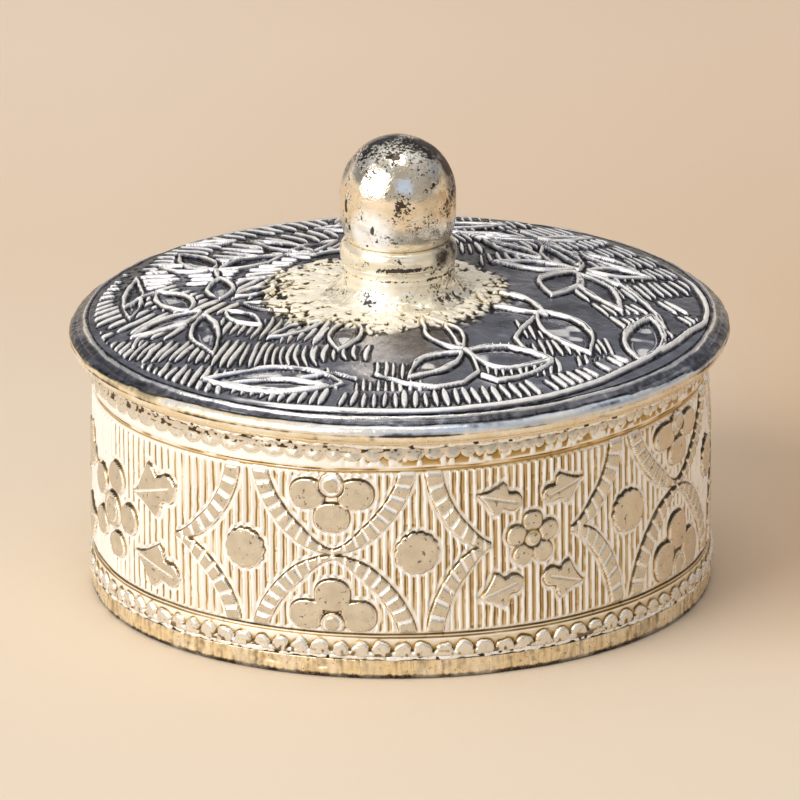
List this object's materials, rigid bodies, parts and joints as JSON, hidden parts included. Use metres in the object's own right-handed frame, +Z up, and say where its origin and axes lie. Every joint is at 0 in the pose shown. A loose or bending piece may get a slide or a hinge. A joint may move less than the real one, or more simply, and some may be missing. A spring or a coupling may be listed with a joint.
{
  "type": "kumkum box",
  "caption": "Small round embossed metal box for kumkum powder, with a lift-off domed lid, rolled rim, ball knob and foot ring.",
  "frame": {"origin": "centre of the foot ring's flat bottom, on the table", "axes": "+Z up along the box's axis through the knob, -Y towards the front as pictured"},
  "size_m": [0.0634, 0.0634, 0.0446],
  "materials": {
    "plated_wall": "silver plate with a warm cast, embossed",
    "plated_inside": "plain silver plate, dull",
    "plated_lid": "bright silver plate, chased, dark in the recesses",
    "plated_knob": "polished silver plate with fine casting pits",
    "solder": "rough plated solder",
    "steel": "zinc-plated steel"
  },
  "bodies": {
    "box": {"foot_ring": "plated_wall", "floor_plate": "plated_inside", "drum_sleeve": "plated_wall", "foot_solder_seam": "solder", "mouth_solder_seam": "solder", "mouth_ring": "plated_wall"},
    "lid": {"lid_rim": "plated_lid", "lid_plate": "plated_lid", "lid_spigot": "plated_inside", "knob_base": "plated_knob", "knob_collar": "plated_knob", "knob_ball": "plated_knob", "knob_washer": "steel", "knob_screw": "steel"}
  },
  "joints": [
    {"name": "lid_lift", "type": "slide", "parent": "box", "child": "lid", "axis": [0, 0, 1], "range_m": [0, 0.04]}
  ]
}
